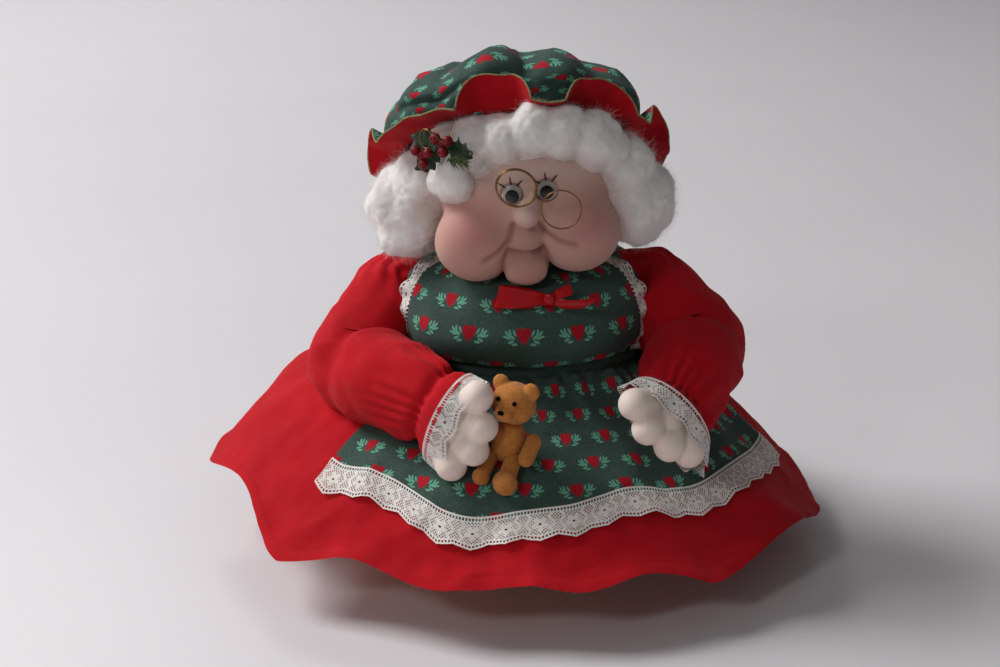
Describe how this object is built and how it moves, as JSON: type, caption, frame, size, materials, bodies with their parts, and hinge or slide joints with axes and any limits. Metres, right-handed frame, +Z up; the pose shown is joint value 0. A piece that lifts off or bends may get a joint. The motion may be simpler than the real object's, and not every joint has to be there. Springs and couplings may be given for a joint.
{
  "type": "nylon stocking doll",
  "caption": "Squat seated granny doll of stuffed stocking and cloth, in a flared red dress, print apron and mob cap, with loose wire spectacles and a small jointed bear in one hand.",
  "frame": {"origin": "middle of the flat base that the doll sits on", "axes": "+Z up, the doll faces -Y, and its own left side is +X"},
  "size_m": [0.3032, 0.2973, 0.2462],
  "materials": {
    "red_cotton": "plain matt cotton",
    "green_print": "matt cotton print",
    "white_lace": "machine lace",
    "nylon_skin": "fine stretched knit",
    "white_hair": "fluffed fibre",
    "red_satin": "satin ribbon",
    "muslin": "plain muslin",
    "elastic": "braided elastic",
    "base_card": "plain board",
    "gold_wire": "bright bent wire",
    "eye_white": "smooth",
    "eye_clear": "clear moulding",
    "black_plastic": "smooth",
    "bear_flock": "flocked",
    "holly_green": "moulded leaf",
    "berry_red": "lacquered"
  },
  "bodies": {
    "torso": {"base_cover": "red_cotton", "base_board": "base_card", "torso": "muslin", "pellet_bag": "muslin", "dress_bodice": "red_cotton", "dress_skirt": "red_cotton", "apron_waistband": "green_print", "apron_bib": "green_print", "apron_skirt": "green_print", "apron_lace": "white_lace", "apron_strap_right": "green_print", "apron_strap_left": "green_print", "strap_lace_right": "white_lace", "strap_lace_left": "white_lace", "neck_bow": "red_satin", "apron_sash_bow": "green_print"},
    "neck": {"neck": "nylon_skin"},
    "head": {"head": "nylon_skin", "hair_right": "white_hair", "hair_left": "white_hair", "hair_curl": "white_hair", "hair_fringe": "white_hair", "hair_nape": "white_hair", "cap_crown": "green_print", "cap_elastic": "elastic", "cap_ruffle": "green_print", "cap_ruffle_lining": "red_cotton", "holly_leaf_1": "holly_green", "holly_leaf_2": "holly_green", "holly_leaf_3": "holly_green", "holly_berries_1": "berry_red", "holly_berries_2": "berry_red", "holly_pine_tip": "holly_green", "holly_wire": "gold_wire", "eye_back_right": "eye_white", "eye_back_left": "eye_white", "eye_dome_right": "eye_clear", "eye_dome_left": "eye_clear"},
    "pupil_right": {"pupil_right": "black_plastic"},
    "pupil_left": {"pupil_left": "black_plastic"},
    "spectacles": {"spectacles": "gold_wire"},
    "arm_right": {"sleeve_right": "red_cotton", "cuff_lace_right": "white_lace", "hand_right": "nylon_skin", "bear_body": "bear_flock"},
    "arm_left": {"sleeve_left": "red_cotton", "cuff_lace_left": "white_lace", "hand_left": "nylon_skin"},
    "bear_head": {"bear_head": "bear_flock", "bear_nose": "black_plastic", "bear_eye_right": "black_plastic", "bear_eye_left": "black_plastic"},
    "bear_arm_right": {"bear_arm_right": "bear_flock"},
    "bear_arm_left": {"bear_arm_left": "bear_flock"},
    "bear_leg_right": {"bear_leg_right": "bear_flock"},
    "bear_leg_left": {"bear_leg_left": "bear_flock"}
  },
  "joints": [
    {"name": "neck_turn", "type": "hinge", "parent": "torso", "child": "neck", "pos_m": [0, -0.006, 0.151], "axis": [0, 0, 1], "range_deg": [-20, 20]},
    {"name": "head_nod", "type": "hinge", "parent": "neck", "child": "head", "pos_m": [0, -0.006, 0.151], "axis": [1, 0, 0], "range_deg": [-6, 0]},
    {"name": "shoulder_right", "type": "hinge", "parent": "torso", "child": "arm_right", "pos_m": [-0.062, -0.004, 0.127], "axis": [-1, 0, 0], "range_deg": [0, 30]},
    {"name": "shoulder_left", "type": "hinge", "parent": "torso", "child": "arm_left", "pos_m": [0.064, -0.004, 0.128], "axis": [-1, 0, 0], "range_deg": [0, 30]},
    {"name": "spectacles_tilt", "type": "hinge", "parent": "head", "child": "spectacles", "pos_m": [0.00737, -0.07435, 0.18683], "axis": [0, -1, 0], "range_deg": [-5, 30]},
    {"name": "pupil_right_slide", "type": "slide", "parent": "head", "child": "pupil_right", "axis": [-0.0481, 0.0347, 0.9982], "range_m": [0, 0.0023]},
    {"name": "pupil_left_slide", "type": "slide", "parent": "head", "child": "pupil_left", "axis": [-0.0663, 0.0658, 0.9956], "range_m": [0, 0.0023]},
    {"name": "bear_head_turn", "type": "hinge", "parent": "arm_right", "child": "bear_head", "pos_m": [-0.007, -0.095, 0.079], "axis": [0.1229, -0.0653, 0.9903], "range_deg": [0, 40]},
    {"name": "bear_arm_right_lift", "type": "hinge", "parent": "arm_right", "child": "bear_arm_right", "pos_m": [-0.01731, -0.08952, 0.08397], "axis": [-0.8744, 0.4649, 0.1392], "range_deg": [0, 30]},
    {"name": "bear_arm_left_lift", "type": "hinge", "parent": "arm_right", "child": "bear_arm_left", "pos_m": [0.00412, -0.10091, 0.08056], "axis": [-0.8744, 0.4649, 0.1392], "range_deg": [0, 30]},
    {"name": "bear_leg_right_lift", "type": "hinge", "parent": "arm_right", "child": "bear_leg_right", "pos_m": [-0.01432, -0.09564, 0.07298], "axis": [-0.8744, 0.4649, 0.1392], "range_deg": [0, 15]},
    {"name": "bear_leg_left_lift", "type": "hinge", "parent": "arm_right", "child": "bear_leg_left", "pos_m": [-0.00511, -0.10054, 0.07151], "axis": [-0.8744, 0.4649, 0.1392], "range_deg": [0, 15]}
  ]
}
